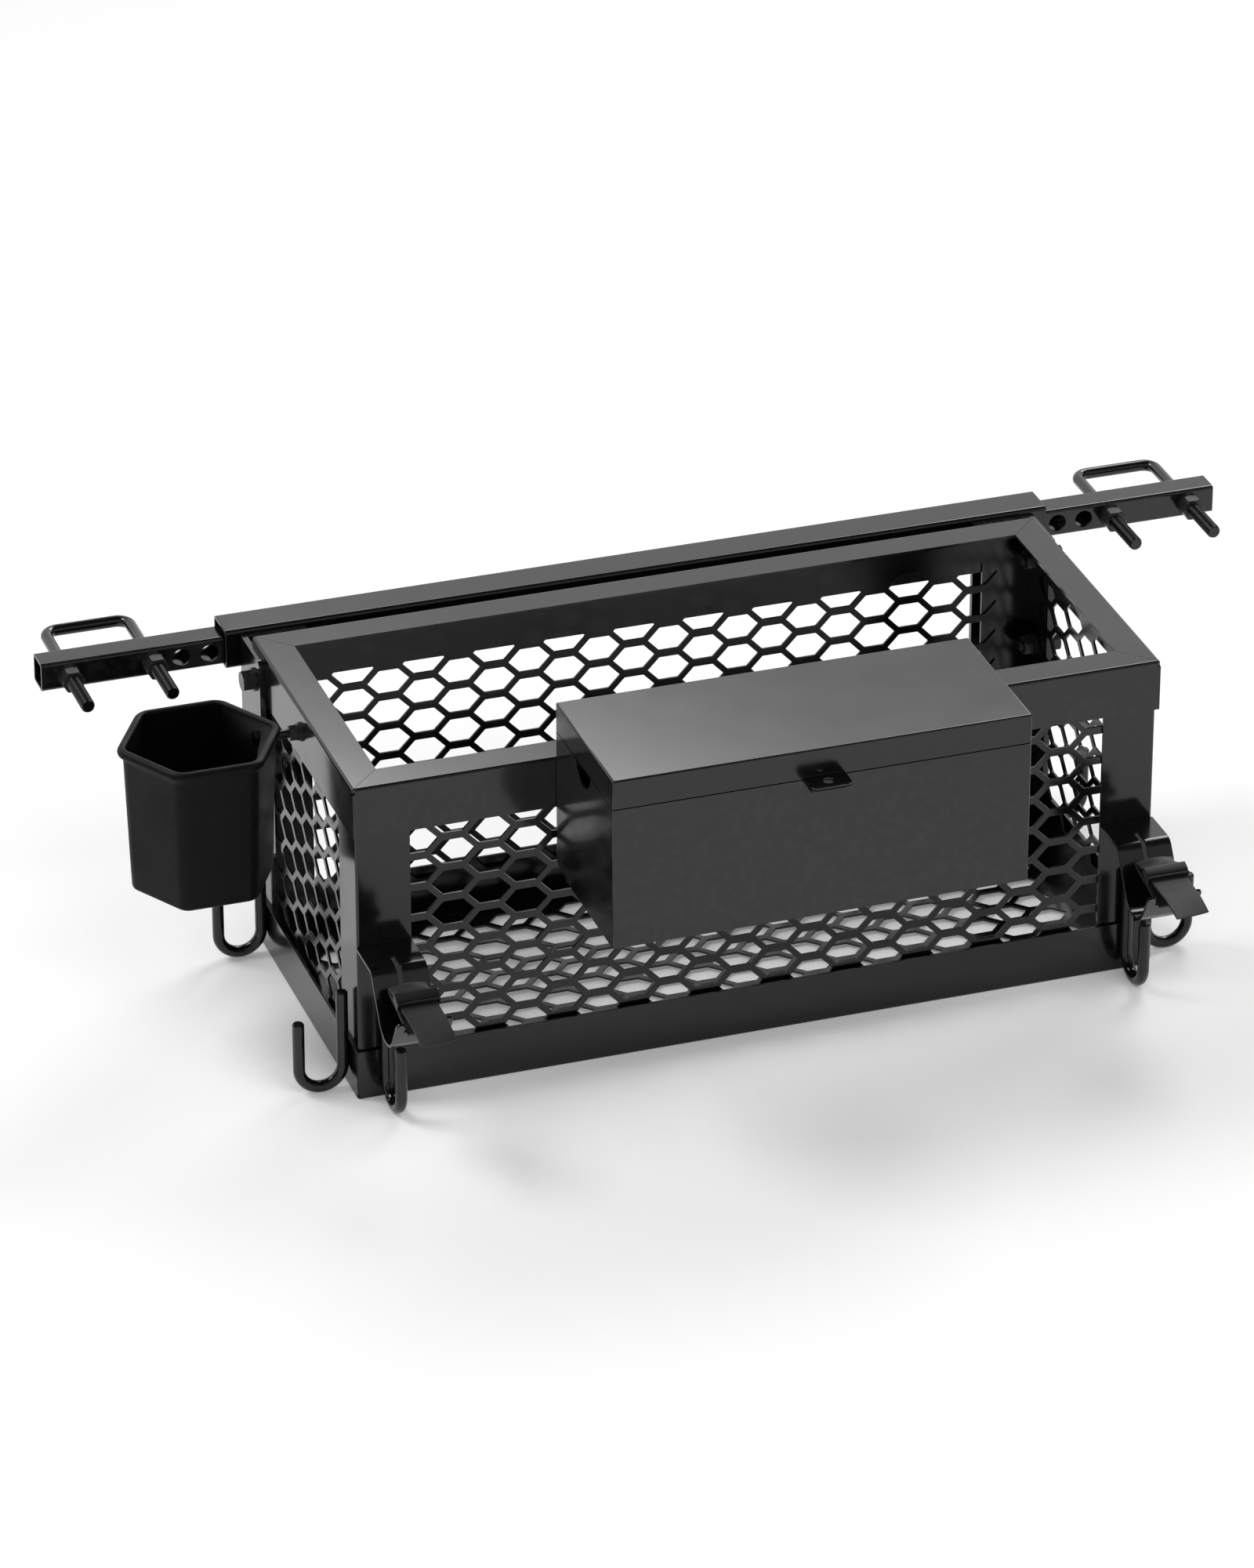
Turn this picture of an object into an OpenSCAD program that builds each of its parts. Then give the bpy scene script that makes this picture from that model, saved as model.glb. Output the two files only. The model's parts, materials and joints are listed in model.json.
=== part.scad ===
// Mesh cargo basket on a telescoping crossbar, with square-bend clamp bolts, hanging hooks,
// strapped tool cradles, a cup and a lidded toolbox. Units are millimetres, +Z is up.
// Every sub-part is drawn in basket coordinates: X = 0 and Y = 0 are the middle of the basket,
// Z = 0 is the floor. placed() then moves it so that the origin is the middle of the whole
// part's footprint on the floor.

/* [Basket] */
// Outer length of the basket, along X
basket_l = 560; // [520:10:700]
// Outer depth of the basket, along Y
basket_d = 229; // [215:1:280]
// Height from the floor to the top of the rim
basket_h = 231; // [225:1:260]
// Thickness of the angle iron, which is also its outer bend radius
angle_t = 2; // [1.5:0.1:2.5]
// Depth of the upright leg of the rim and of the bottom rail
rim_leg = 36; // [30:1:40]
// Width of the flat flange of the rim and of the bottom rail
rim_flange = 23; // [18:1:28]
// Leg width of the corner posts
post_leg = 37; // [30:1:40]
// Width of the seam left at each mitre
mitre_gap = 0.4; // [0.2:0.1:1]

/* [Hexagonal mesh] */
// Thickness of the mesh sheet
mesh_t = 1.5; // [1:0.1:2]
// Distance between neighbouring columns of cells
column_pitch = 24.9; // [24:0.1:30]
// Distance between the cells of one column
row_pitch = 22.6; // [22:0.1:26]
// Width of a cell, point to point
cell_w = 29.9; // [24:0.1:30]
// Height of a cell, flat to flat
cell_h = 17.2; // [12:0.1:18]
// Length of a cell's flat edge
cell_flat = 13.5; // [8:0.1:14]
// Number of cells in a long column; the columns between them have one fewer
column_cells = 8; // [6:1:8]
// Number of columns on the long panels
long_columns = 20; // [14:2:20]
// Number of columns on the short panels
short_columns = 7; // [5:2:7]

/* [Crossbar] */
// Outer size of the fixed square tube
tube_size = 28; // [26:1:32]
// Wall of the fixed square tube
tube_wall = 2; // [1.5:0.1:2.5]
// How far the fixed tube reaches past each end of the basket
tube_overhang = 14.2; // [10:0.1:30]
// Gap between the back of the basket and the fixed tube
tube_standoff = 13.2; // [12:0.1:20]
// Height of the top of the fixed tube
tube_top = 229.6; // [225:0.1:232]
// Outer size of the sliding arms
arm_size = 20; // [18:0.5:22]
// Wall of the sliding arms
arm_wall = 1.5; // [1.2:0.1:2]
// How far each arm reaches past the end of the basket at rest
arm_reach = 140.4; // [120:0.1:180]
// Length of each sliding arm
arm_l = 250; // [220:1:260]
// Diameter of the holes in the arms
arm_hole_d = 12.5; // [10:0.1:13]
// Distance from an arm's free end to its first hole
arm_hole_start = 19; // [15:0.5:24]
// Distance between the spare holes
arm_hole_pitch = 19.5; // [18:0.1:22]

/* [Clamp bolts] */
// Diameter of the rod of the clamp bolts and of the hooks
rod_d = 8; // [6:0.5:9]
// Outer diameter of the thread rolled on the clamp bolts' legs
thread_d = 9.5; // [9:0.1:10]
// Distance between the two legs of a clamp bolt
ubolt_pitch = 58; // [56:0.5:62]
// Bend radius of a clamp bolt, to the middle of the rod
ubolt_bend = 9; // [8:0.5:14]
// How far the legs stand out in front of the arm
ubolt_front = 48.5; // [30:0.5:50]
// Clear space between the back of the arm and the bolt's cross piece
ubolt_window = 42; // [34:0.5:50]

/* [Hooks] */
// Distance between the two legs of a hook
hook_pitch = 30; // [24:1:36]
// Height of the top of a hook's long leg
hook_long = 73; // [60:1:90]
// Height of the tip of a hook's free leg
hook_short = 54; // [40:1:58]
// Distance from a basket corner to a hook
hook_inset = 19.5; // [15:0.5:30]

/* [Tool cradles] */
// Width of a cradle
cradle_w = 38; // [36:1:44]
// Thickness of the cradle sheet
cradle_t = 2; // [1.5:0.5:2]
// Width of the retaining strap
strap_w = 25; // [20:1:25]
// Thickness of the retaining strap
strap_t = 1.4; // [1:0.1:1.4]

/* [Cup] */
// Centre to corner of the cup's lip
cup_lip_r = 54.8; // [50:0.1:55]
// Centre to corner of the cup's wall just under the lip
cup_top_r = 51.4; // [47:0.1:51.5]
// Centre to corner of the cup's base
cup_base_r = 48; // [42:0.1:48]
// Height of the cup's lip
cup_top_z = 223.7; // [220:0.1:225]
// Height of the cup
cup_h = 105; // [90:1:110]
// Distance from the basket's side to the middle of the cup
cup_out = 69; // [68:0.5:74]

/* [Toolbox] */
// Length of the toolbox
box_l = 284.6; // [240:0.1:300]
// Depth of the toolbox
box_d = 115; // [100:1:130]
// Height of the toolbox's base
box_base = 150.5; // [140:0.5:160]
// Height of the bottom edge of the lid
seam_z = 251.2; // [245:0.1:255]
// Depth of the lid's skirt
lid_h = 20.4; // [16:0.1:26]
// Sheet thickness of the toolbox
box_t = 1.5; // [1.2:0.1:1.8]
// Outer radius of its bends
box_bend = 1.4; // [0.8:0.1:2]
// Length of the padlock tabs
tab_l = 17; // [14:0.5:20]
// Width of the padlock tabs
tab_w = 28; // [20:1:34]

/* [Hidden] */
$fn = 48;
slack = 0.05;
margin = 1;
half_l = basket_l / 2;
half_d = basket_d / 2;
rod_r = rod_d / 2;
under_rim = basket_h - angle_t;
mesh_in = 2 * angle_t;
mesh_face = mesh_in + mesh_t;
panel_h = under_rim - angle_t - mesh_t;
panel_z = angle_t + mesh_t + panel_h / 2;
// Crossbar
tube_r = 3;
tube_y = half_d + tube_standoff + tube_size / 2;
tube_z = tube_top - tube_size / 2;
arm_z = tube_z - tube_size / 2 + tube_wall + 0.1 + arm_size / 2;
arm_r = 2.4;
arm_face = tube_y - arm_size / 2;
arm_back = tube_y + arm_size / 2;
arm_end_x = half_l + arm_reach;
arm_holes = [
    arm_hole_start,
    arm_hole_start + ubolt_pitch,
    arm_hole_start + ubolt_pitch + arm_hole_pitch,
    arm_hole_start + ubolt_pitch + 2 * arm_hole_pitch
];
ubolt_x = arm_end_x - arm_hole_start - ubolt_pitch / 2;
ubolt_tip_y = arm_face - ubolt_front;
ubolt_bar_y = arm_back + ubolt_window + rod_r;
// The whole part reaches from the padlock tabs to the clamp bolts
front_y = -half_d - box_d - tab_l;
back_y = ubolt_bar_y + rod_r;
origin_y = (front_y + back_y) / 2;
// Fasteners
m8_flats = 13;
m8_head = 5.3;
m8_nut = 6.5;
m8_washer_d = 16;
m8_washer_t = 1.6;
thread_r = thread_d / 2;
clamp_flats = 14.3;
clamp_nut = 8.3;
clamp_washer_d = 15.6;
clamp_lock_d = 14.2;
m8_lock_d = 13.4;
m8_lock_t = 2;
m6_flats = 10;
m6_nut = 5;
m6_head = 4;
m6_washer_d = 13;
m6_washer_t = 1.6;
m6_lock_d = 11;
m6_lock_t = 1.8;
m6_r = 3;
// Angle brackets between the basket and the fixed tube
bracket_leg = 45;
bracket_t = 4;
bracket_top = 226;
bracket_h = 100;
bracket_round = 6;
bracket_back = half_d + tube_standoff;
bracket_bolt_y = half_d - 18;
bracket_bolt_z = [208, 142];
// Cradles: the path of the sheet in the Y, Z plane, with Y measured from the basket's front
cradle_route = [[angle_t, 112.2], [-29.3, 112.2], [-61.8, 60.5], [-85.6, 103.4]];
cradle_bend = [8, 16.8];
cradle_x = half_l - angle_t - post_leg / 2;
cradle_slot_w = 3.5;
cradle_slot_from = -14;
cradle_slot_z = 92;
ear_w = 6;
ear_h = 9;
// The strap's loop through the cradle and its free end, in the same plane
strap_route = [
    [-88.5, 96.9], [-84, 97.3], [-76, 98.9], [-65, 101.4], [-55, 103.2], [-49, 104.6], [-46.2, 106.9],
    [-47.6, 109.8], [-51.5, 111.6], [-56, 112.6], [-60.5, 112.7], [-64.5, 111.9],
    [-68.6, 110.3], [-74, 108.2], [-79.5, 107.6], [-87, 107.4], [-98, 106.6], [-107, 105], [-115.3, 102.8]
];
strap_steps = 4;
buckle_at = [-68.6, 110.3];
buckle_tilt = 24;
buckle_l = 12;
buckle_w = 29;
buckle_h = 6.4;
buckle_wall = 1.3;
// Cup
cup_t = 2.2;
cup_corner = 10;
cup_bead = 3.3;
cup_y = 1.5;
cup_bolt_z = 215.5;
cup_pad = 7;
cup_x = -half_l - cup_out;
// Toolbox
seam_gap = 0.6;
box_wall_top = seam_z - seam_gap;
lip_inset = 0.8;
lip_t = 1.2;
lip_up = 5.5;
lip_down = 6;
box_chamfer_y = 18;
box_chamfer_z = 5;
notch_r = 14.4;
notch_y = -56;
notch_z = 252.6;
tab_hole_r = 4;
tab_hole_y = 8.5;
tab_corner = 4;
box_bolt_z = 214;
box_bolt_x = 100;
hinge_x = 84;
hinge_l = 54;
knuckle_r = 3;
pin_r = 1.5;
leaf_t = 1.2;
leaf_h = 16;
knuckle_gap = 0.3;

// ---------- helpers ----------

module placed() {
    translate([0, -origin_y, 0])
        children();
}

// Draws the children on the right, or mirrored on the left when side is -1
module on_side(side) {
    if (side < 0)
        mirror([1, 0, 0])
            children();
    else
        children();
}

// Turns a cylinder that was drawn along +Z so that it runs along +X
module along_x() {
    rotate([0, 90, 0])
        children();
}

// Turns a shape that was drawn along +Z so that it runs along +Y
module along_y() {
    rotate([-90, 0, 0])
        children();
}

// Extrudes a shape drawn in the Y, Z plane along X, centred on x
module extrude_x(length, x = 0) {
    translate([x - length / 2, 0, 0])
        rotate([90, 0, 90])
            linear_extrude(length)
                children();
}

module painted() {
    color([0.05, 0.05, 0.05])
        children();
}

// L section with its outer corner at the origin
module angle_2d(leg_x, leg_y) {
    translate([angle_t, 0])
        square([leg_x - angle_t, angle_t]);
    translate([0, angle_t])
        square([angle_t, leg_y - angle_t]);
    intersection() {
        square(angle_t);
        translate([angle_t, angle_t])
            circle(angle_t);
    }
}

module rounded_square(size, radius) {
    square([size, size - 2 * radius], center = true);
    square([size - 2 * radius, size], center = true);
    for (x = [-1, 1])
        for (y = [-1, 1])
            translate([x * (size / 2 - radius), y * (size / 2 - radius)])
                circle(radius);
}

module tube_2d(size, wall, radius) {
    difference() {
        rounded_square(size, radius);
        rounded_square(size - 2 * wall, max(radius - wall, 0.4));
    }
}

// Hexagon prism with its corners turned off at 30 degrees, along +Z
module hex_body(flats, height, both_ends = true) {
    corner = flats / sqrt(3);
    drop = (corner - flats / 2) * tan(30);
    foot = both_ends ? drop : 0;
    intersection() {
        cylinder(r = corner, h = height, $fn = 6);
        rotate_extrude()
            polygon([
                [0, 0], [both_ends ? flats / 2 : corner, 0], [corner, foot],
                [corner, height - drop], [flats / 2, height], [0, height]
            ]);
    }
}

module hex_nut(flats, height, bore_r) {
    difference() {
        hex_body(flats, height);
        translate([0, 0, -margin])
            cylinder(r = bore_r, h = height + 2 * margin);
    }
}

// Hex head below Z = 0 and a shank up to +Z
module hex_bolt(flats, head, radius, length) {
    rotate([180, 0, 0])
        hex_body(flats, head, false);
    cylinder(r = radius, h = length - 1);
    translate([0, 0, length - 1])
        cylinder(r1 = radius, r2 = radius - 0.8, h = 1);
}

module washer(outer_d, thickness, bore_r) {
    difference() {
        cylinder(d = outer_d, h = thickness);
        translate([0, 0, -margin])
            cylinder(r = bore_r, h = thickness + 2 * margin);
    }
}

// Spring washer: a ring with one slanted split
module lock_washer(outer_d, thickness, bore_r) {
    difference() {
        washer(outer_d, thickness, bore_r);
        rotate([20, 0, 0])
            translate([0, -0.5, -2 * thickness])
                cube([outer_d, 1, 5 * thickness]);
    }
}

function unit(v) = v / norm(v);

// The arc that rounds the corner b between a and c, as count + 1 points
function corner_arc(a, b, c, radius, count = 8) =
    let (
        to_a = unit(a - b),
        to_c = unit(c - b),
        half = acos(to_a * to_c) / 2,
        centre = b + unit(to_a + to_c) * radius / sin(half),
        from = b + to_a * radius / tan(half) - centre,
        start = atan2(from[1], from[0]),
        side = (to_a[0] * to_c[1] - to_a[1] * to_c[0]) > 0 ? -1 : 1,
        sweep = side * (180 - 2 * half)
    )
    [for (i = [0:count]) centre + radius * [cos(start + sweep * i / count), sin(start + sweep * i / count)]];

function rounded_route(points, radii) = [
    points[0],
    for (i = [1:len(points) - 2])
        each corner_arc(points[i - 1], points[i], points[i + 1], radii[i - 1]),
    points[len(points) - 1]
];

function along_curve(a, b, c, d, t) =
    0.5 * (2 * b + (c - a) * t + (2 * a - 5 * b + 4 * c - d) * t * t + (3 * b - a - 3 * c + d) * t * t * t);

// A smooth curve through every point
function smooth_route(p, steps) = [
    for (i = [0:len(p) - 2])
        for (s = [0:steps - 1])
            along_curve(p[max(i - 1, 0)], p[i], p[i + 1], p[min(i + 2, len(p) - 1)], s / steps),
    p[len(p) - 1]
];

function route_normal(p, i) =
    let (d = unit(p[min(i + 1, len(p) - 1)] - p[max(i - 1, 0)]))
    [-d[1], d[0]];

// A strip of even thickness along a route
module strip_2d(route, thickness) {
    last = len(route) - 1;
    polygon(concat(
        [for (i = [0:last]) route[i] + route_normal(route, i) * thickness / 2],
        [for (i = [last:-1:0]) route[i] - route_normal(route, i) * thickness / 2]
    ));
}

// ---------- basket frame ----------

// Angle bar along X with a 45 degree mitre at both ends, its outer edge on Y = 0
module mitred_bar(length) {
    reach = rim_flange + margin;
    gap = mitre_gap / 2;
    difference() {
        intersection() {
            rotate([90, 0, 90])
                linear_extrude(length)
                    angle_2d(rim_flange, rim_leg);
            translate([0, 0, -margin])
                linear_extrude(rim_leg + 2 * margin)
                    polygon([
                        [gap, 0], [length - gap, 0],
                        [length - gap - reach, reach], [gap + reach, reach]
                    ]);
        }
        // Relief notch where three bends meet
        for (x = [0, length])
            translate([x, 0, -margin])
                cylinder(r = angle_t, h = margin + 2 * angle_t);
    }
}

// Side 0 is the front, 1 the right, 2 the back and 3 the left
module ring_bar(side) {
    along = side % 2 == 0 ? basket_l : basket_d;
    across = side % 2 == 0 ? basket_d : basket_l;
    rotate([0, 0, 90 * side])
        translate([-along / 2, -across / 2, 0])
            mitred_bar(along);
}

module top_bar(side) {
    translate([0, 0, basket_h])
        mirror([0, 0, 1])
            ring_bar(side);
}

// Clearance holes for the bracket bolts, through everything at the basket's ends
module bracket_holes() {
    for (z = bracket_bolt_z)
        translate([-half_l - 2 * bracket_leg, bracket_bolt_y, z])
            along_x()
                cylinder(r = rod_r + 0.3, h = basket_l + 4 * bracket_leg);
}

module cup_holes() {
    translate([-half_l - margin, cup_y, cup_bolt_z])
        along_x()
            cylinder(r = m6_r + 0.3, h = mesh_face + 2 * margin);
}

module box_holes() {
    for (x = [-box_bolt_x, 0, box_bolt_x])
        translate([x, -half_d - box_t - margin, box_bolt_z])
            along_y()
                cylinder(r = m6_r + 0.3, h = box_t + mesh_face + 2 * margin);
}

module top_rim_front() {
    painted()
        placed()
            difference() {
                top_bar(0);
                box_holes();
            }
}

module top_rim_right() {
    painted()
        placed()
            difference() {
                top_bar(1);
                bracket_holes();
            }
}

module top_rim_back() {
    painted()
        placed()
            top_bar(2);
}

module top_rim_left() {
    painted()
        placed()
            difference() {
                top_bar(3);
                bracket_holes();
                cup_holes();
            }
}

module bottom_rail(side) {
    painted()
        placed()
            ring_bar(side);
}

// Corner post at the corner given by the signs of X and Y
module post(x, y) {
    painted()
        placed()
            difference() {
                mirror([x > 0 ? 1 : 0, 0, 0])
                    mirror([0, y > 0 ? 1 : 0, 0])
                        translate([angle_t - half_l, angle_t - half_d, angle_t])
                            linear_extrude(under_rim - angle_t)
                                angle_2d(post_leg, post_leg);
                bracket_holes();
            }
}

// ---------- mesh panels ----------

module cell() {
    polygon([
        [cell_w / 2, 0], [cell_flat / 2, cell_h / 2], [-cell_flat / 2, cell_h / 2],
        [-cell_w / 2, 0], [-cell_flat / 2, -cell_h / 2], [cell_flat / 2, -cell_h / 2]
    ]);
}

// Columns of cells; every second column is half a row higher and one cell longer
module cells(columns, first_long) {
    for (i = [0:columns - 1]) {
        long = (i + first_long) % 2 == 1;
        rows = long ? column_cells : column_cells - 1;
        for (j = [0:rows - 1])
            translate([(i - (columns - 1) / 2) * column_pitch, (j - (rows - 1) / 2) * row_pitch])
                cell();
    }
}

module mesh_sheet(length, height, columns, first_long) {
    linear_extrude(mesh_t)
        difference() {
            square([length, height], center = true);
            cells(columns, first_long);
        }
}

module mesh_long(y) {
    translate([0, y + mesh_t, panel_z])
        rotate([90, 0, 0])
            mesh_sheet(basket_l - 2 * mesh_in, panel_h, long_columns, 0);
}

module mesh_end(x) {
    translate([x, 0, panel_z])
        rotate([90, 0, 90])
            mesh_sheet(basket_d - 2 * mesh_face, panel_h, short_columns, 1);
}

module mesh_front() {
    painted()
        placed()
            difference() {
                mesh_long(-half_d + mesh_in);
                box_holes();
            }
}

module mesh_back() {
    painted()
        placed()
            mesh_long(half_d - mesh_face);
}

module mesh_left() {
    painted()
        placed()
            difference() {
                mesh_end(-half_l + mesh_in);
                bracket_holes();
                cup_holes();
            }
}

module mesh_right() {
    painted()
        placed()
            difference() {
                mesh_end(half_l - mesh_face);
                bracket_holes();
            }
}

module mesh_floor() {
    painted()
        placed()
            translate([0, 0, angle_t])
                mesh_sheet(basket_l - 2 * mesh_in, basket_d - 2 * mesh_in, long_columns, 0);
}

// ---------- crossbar ----------

module crossbar_tube() {
    painted()
        placed()
            translate([0, tube_y, tube_z])
                extrude_x(basket_l + 2 * tube_overhang)
                    tube_2d(tube_size, tube_wall, tube_r);
}

// Angle bracket: one leg on the basket's end, the other on the front of the fixed tube
module bracket(side) {
    front = bracket_back - bracket_leg;
    base = bracket_top - bracket_h;
    painted()
        placed()
            difference() {
                on_side(side) {
                    // End leg, with its front corners rounded
                    intersection() {
                        extrude_x(bracket_t, half_l + bracket_t / 2)
                            translate([bracket_back, bracket_top - bracket_h / 2])
                                rounded_bar_2d(2 * bracket_leg, bracket_h, bracket_round);
                        translate([half_l - margin, front, base])
                            cube([bracket_t + 2 * margin, bracket_leg, bracket_h]);
                    }
                    translate([half_l + bracket_t - bracket_leg, bracket_back - bracket_t, base])
                        cube([bracket_leg - bracket_t, bracket_t, bracket_h]);
                }
                bracket_holes();
            }
}

// Everything on a bracket bolt is placed by its distance out from the basket's end face
module on_bracket_bolts(out) {
    for (side = [-1, 1])
        on_side(side)
            for (z = bracket_bolt_z)
                translate([half_l + out, bracket_bolt_y, z])
                    rotate([0, -90, 0])
                        children();
}

module bracket_bolts() {
    grip = bracket_t + m8_washer_t + m8_lock_t;
    color([0.08, 0.08, 0.08])
        placed()
            on_bracket_bolts(grip)
                hex_bolt(m8_flats, m8_head, rod_r, grip + mesh_face + m8_washer_t + m8_nut + 3);
}

module bracket_washers() {
    color([0.08, 0.08, 0.08])
        placed() {
            on_bracket_bolts(bracket_t + m8_washer_t)
                washer(m8_washer_d, m8_washer_t, rod_r + slack);
            on_bracket_bolts(-mesh_face)
                washer(m8_washer_d, m8_washer_t, rod_r + slack);
        }
}

module bracket_lock_washers() {
    color([0.08, 0.08, 0.08])
        placed()
            on_bracket_bolts(bracket_t + m8_washer_t + m8_lock_t)
                lock_washer(m8_lock_d, m8_lock_t, rod_r + slack);
}

module bracket_nuts() {
    color([0.08, 0.08, 0.08])
        placed()
            on_bracket_bolts(-mesh_face - m8_washer_t)
                hex_nut(m8_flats, m8_nut, rod_r + slack);
}

// Washers that fill the gap where there is no post or rim behind a bolt
module spacer_washers() {
    color([0.08, 0.08, 0.08])
        placed() {
            for (side = [-1, 1])
                on_side(side)
                    translate([half_l - angle_t, bracket_bolt_y, bracket_bolt_z[1]])
                        along_x()
                            washer(m8_washer_d, angle_t, rod_r + slack);
            translate([-half_l + angle_t, cup_y, cup_bolt_z])
                along_x()
                    washer(m6_washer_d, angle_t, m6_r + slack);
            for (x = [-box_bolt_x, 0, box_bolt_x])
                translate([x, -half_d + angle_t, box_bolt_z])
                    along_y()
                        washer(m6_washer_d, angle_t, m6_r + slack);
        }
}

module arm(side) {
    painted()
        placed()
            on_side(side)
                difference() {
                    translate([0, tube_y, arm_z])
                        extrude_x(arm_l, arm_end_x - arm_l / 2)
                            tube_2d(arm_size, arm_wall, arm_r);
                    for (hole = arm_holes)
                        translate([arm_end_x - hole, tube_y - arm_size, arm_z])
                            along_y()
                                cylinder(d = arm_hole_d, h = 2 * arm_size);
                }
}

module quarter_bend(bend) {
    rotate_extrude(angle = 90)
        translate([bend, 0])
            circle(rod_r);
}

module ubolt(side) {
    leg = ubolt_pitch / 2;
    straight = ubolt_bar_y - ubolt_bend;
    painted()
        placed()
            on_side(side)
                translate([ubolt_x, 0, arm_z]) {
                    for (x = [-1, 1]) {
                        translate([x * leg, arm_back, 0])
                            along_y()
                                cylinder(r = rod_r, h = straight - arm_back);
                        translate([x * leg, ubolt_tip_y + 1, 0])
                            along_y()
                                cylinder(r = thread_r, h = arm_back - ubolt_tip_y - 1);
                        translate([x * leg, ubolt_tip_y, 0])
                            along_y()
                                cylinder(r1 = thread_r - 0.8, r2 = thread_r, h = 1);
                    }
                    translate([leg - ubolt_bend, straight, 0])
                        quarter_bend(ubolt_bend);
                    translate([ubolt_bend - leg, straight, 0])
                        rotate([0, 0, 90])
                            quarter_bend(ubolt_bend);
                    translate([ubolt_bend - leg, ubolt_bar_y, 0])
                        along_x()
                            cylinder(r = rod_r, h = ubolt_pitch - 2 * ubolt_bend);
                }
}

// Everything on a clamp bolt's legs is placed by its distance in front of the arm
module on_ubolt_legs(side, out) {
    on_side(side)
        for (x = [-1, 1])
            translate([ubolt_x + x * ubolt_pitch / 2, arm_face - out, arm_z])
                rotate([90, 0, 0])
                    children();
}

module ubolt_washers(side) {
    color([0.08, 0.08, 0.08])
        placed() {
            on_ubolt_legs(side, 0)
                washer(clamp_washer_d, m8_washer_t, thread_r + slack);
            on_ubolt_legs(side, m8_washer_t)
                lock_washer(clamp_lock_d, m8_lock_t, thread_r + slack);
        }
}

module ubolt_nuts(side) {
    color([0.08, 0.08, 0.08])
        placed()
            on_ubolt_legs(side, m8_washer_t + m8_lock_t)
                hex_nut(clamp_flats, clamp_nut, thread_r + slack);
}

// ---------- hooks ----------

// J hook in the X, Z plane: the long leg stands on X = 0 and the free leg is towards +X
module hook_shape() {
    bend = hook_pitch / 2;
    low = bend + rod_r;
    for (leg = [[0, hook_long], [hook_pitch, hook_short]])
        translate([leg[0], 0, low]) {
            cylinder(r = rod_r, h = leg[1] - low - 1);
            translate([0, 0, leg[1] - low - 1])
                cylinder(r1 = rod_r, r2 = rod_r - 0.8, h = 1);
        }
    translate([bend, 0, low])
        rotate([-90, 0, 0])
            rotate_extrude(angle = 180)
                translate([bend, 0])
                    circle(rod_r);
}

module end_hook(side, y) {
    painted()
        placed()
            on_side(side)
                translate([half_l + rod_r, y * (half_d - hook_inset), 0])
                    hook_shape();
}

module front_hook(side) {
    painted()
        placed()
            translate([side * (half_l - hook_inset), -half_d - rod_r, 0])
                rotate([0, 0, -90])
                    hook_shape();
}

// ---------- tool cradles ----------

// Draws in the plane of the cradle's lip: X across it, Y up to its tip at Y = 0
module on_lip() {
    tip = cradle_route[3];
    slope = unit(tip - cradle_route[2]);
    translate([0, tip[0], tip[1]])
        rotate([atan2(slope[1], slope[0]), 0, 0])
            children();
}

// What is cut from the lip to leave a round ear at each end
module lip_notch_2d() {
    ear_r = ear_w / 2;
    difference() {
        translate([-cradle_w, -ear_h])
            square([2 * cradle_w, 2 * ear_h]);
        for (x = [-1, 1]) {
            translate([x * (cradle_w - ear_w) / 2, -ear_r])
                circle(ear_r);
            translate([x * (cradle_w - ear_w) / 2 - ear_r, -ear_h - margin])
                square([ear_w, ear_h + margin - ear_r]);
        }
    }
}

module cradle(side) {
    route = rounded_route(cradle_route, cradle_bend);
    painted()
        placed()
            on_side(side)
                translate([cradle_x, -half_d, 0])
                    difference() {
                        extrude_x(cradle_w)
                            strip_2d(route, cradle_t);
                        translate([-cradle_slot_w / 2, -45, cradle_slot_z])
                            cube([cradle_slot_w, 45 + cradle_slot_from, 40]);
                        on_lip()
                            translate([0, 0, -2 * cradle_t])
                                linear_extrude(4 * cradle_t)
                                    lip_notch_2d();
                    }
}

module strap(side) {
    color([0.03, 0.03, 0.03])
        placed()
            on_side(side)
                translate([cradle_x, -half_d, 0])
                    extrude_x(strap_w)
                        strip_2d(smooth_route(strap_route, strap_steps), strap_t);
}

// Flat sleeve that holds the strap's two layers together
module strap_buckle(side) {
    color([0.06, 0.06, 0.06])
        placed()
            on_side(side)
                translate([cradle_x, buckle_at[0] - half_d, buckle_at[1]])
                    rotate([buckle_tilt, 0, 0])
                        difference() {
                            extrude_x(buckle_w)
                                rounded_bar_2d(buckle_l, buckle_h, 2);
                            translate([-strap_w / 2 - 0.8, -buckle_l, -buckle_h / 2 + buckle_wall])
                                cube([strap_w + 1.6, 2 * buckle_l, buckle_h - 2 * buckle_wall]);
                        }
}

module rounded_bar_2d(length, height, radius) {
    square([length, height - 2 * radius], center = true);
    square([length - 2 * radius, height], center = true);
    for (x = [-1, 1])
        for (y = [-1, 1])
            translate([x * (length / 2 - radius), y * (height / 2 - radius)])
                circle(radius);
}

// ---------- cup ----------

// Six rounded uprights at the corners of a hexagon with a corner on +X
module hex_corners(radius, corner) {
    for (a = [0:60:300])
        rotate([0, 0, a])
            translate([radius - corner, 0, 0])
                children();
}

module cup_solid() {
    hull() {
        hex_corners(cup_base_r, cup_corner)
            cylinder(r = cup_corner, h = 1, $fn = 24);
        translate([0, 0, cup_h - 1])
            hex_corners(cup_top_r, cup_corner)
                cylinder(r = cup_corner, h = 1, $fn = 24);
    }
}

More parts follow.
